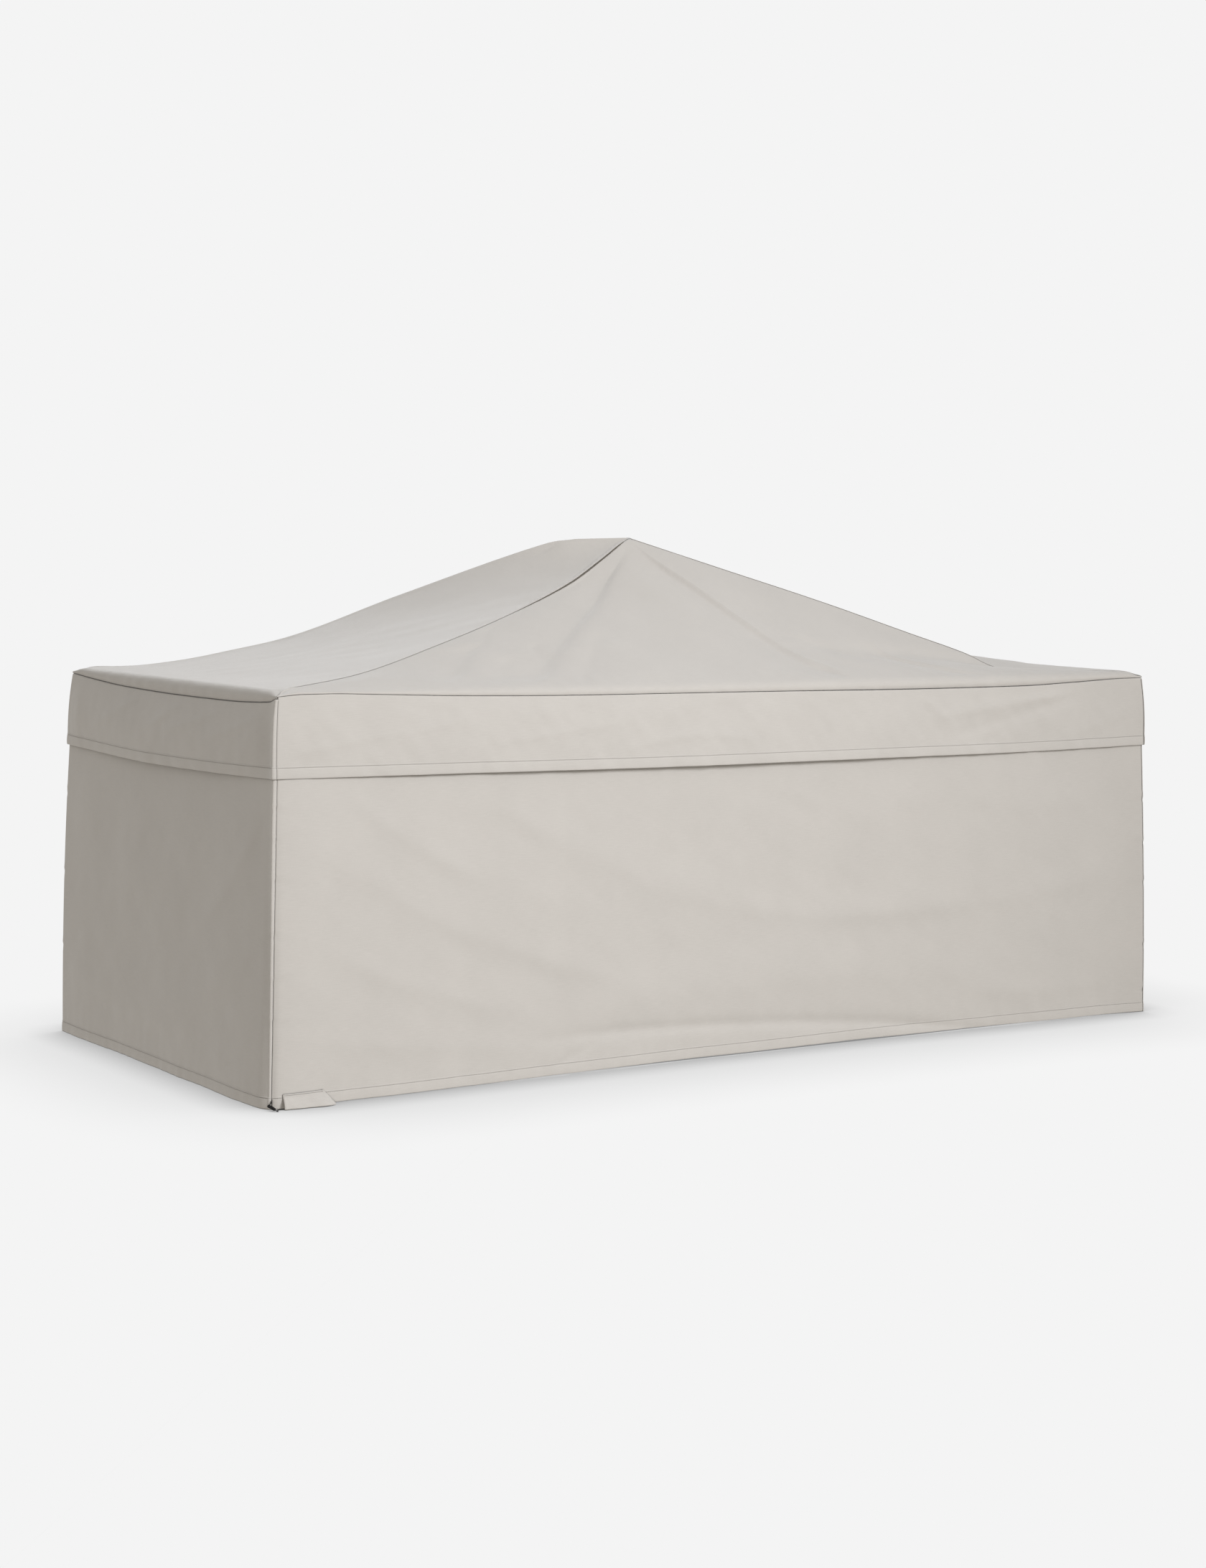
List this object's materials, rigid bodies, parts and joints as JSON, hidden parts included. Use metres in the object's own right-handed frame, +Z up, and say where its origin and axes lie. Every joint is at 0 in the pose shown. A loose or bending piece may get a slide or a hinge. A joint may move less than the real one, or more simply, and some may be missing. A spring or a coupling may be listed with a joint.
{
  "type": "fitted rectangular patio table cover",
  "caption": "Draped fabric cover for a long outdoor table, with a peaked four-gore top, a hemmed valance, hemmed walls down to the floor, a small hem pouch and a drawcord with a barrel lock",
  "frame": {"origin": "on the floor under the middle of the cover", "axes": "+Z up, +X along the long side, +Y from the front wall with the pouch to the back wall"},
  "size_m": [2.2064, 0.9773, 1.035],
  "materials": {
    "cloth": "warm light grey coated polyester in a fine plain weave, matt with a faint melange",
    "cord": "black braided cord, matt",
    "lock": "black moulded plastic with a soft shine"
  },
  "bodies": {
    "root": {"roof_front": "cloth", "roof_back": "cloth", "roof_left": "cloth", "roof_right": "cloth", "valance_front": "cloth", "valance_back": "cloth", "valance_left": "cloth", "valance_right": "cloth", "wall_front": "cloth", "wall_back": "cloth", "wall_left": "cloth", "wall_right": "cloth", "hem_pocket": "cloth", "drawcord": "cord", "cord_lock": "lock"}
  },
  "joints": []
}
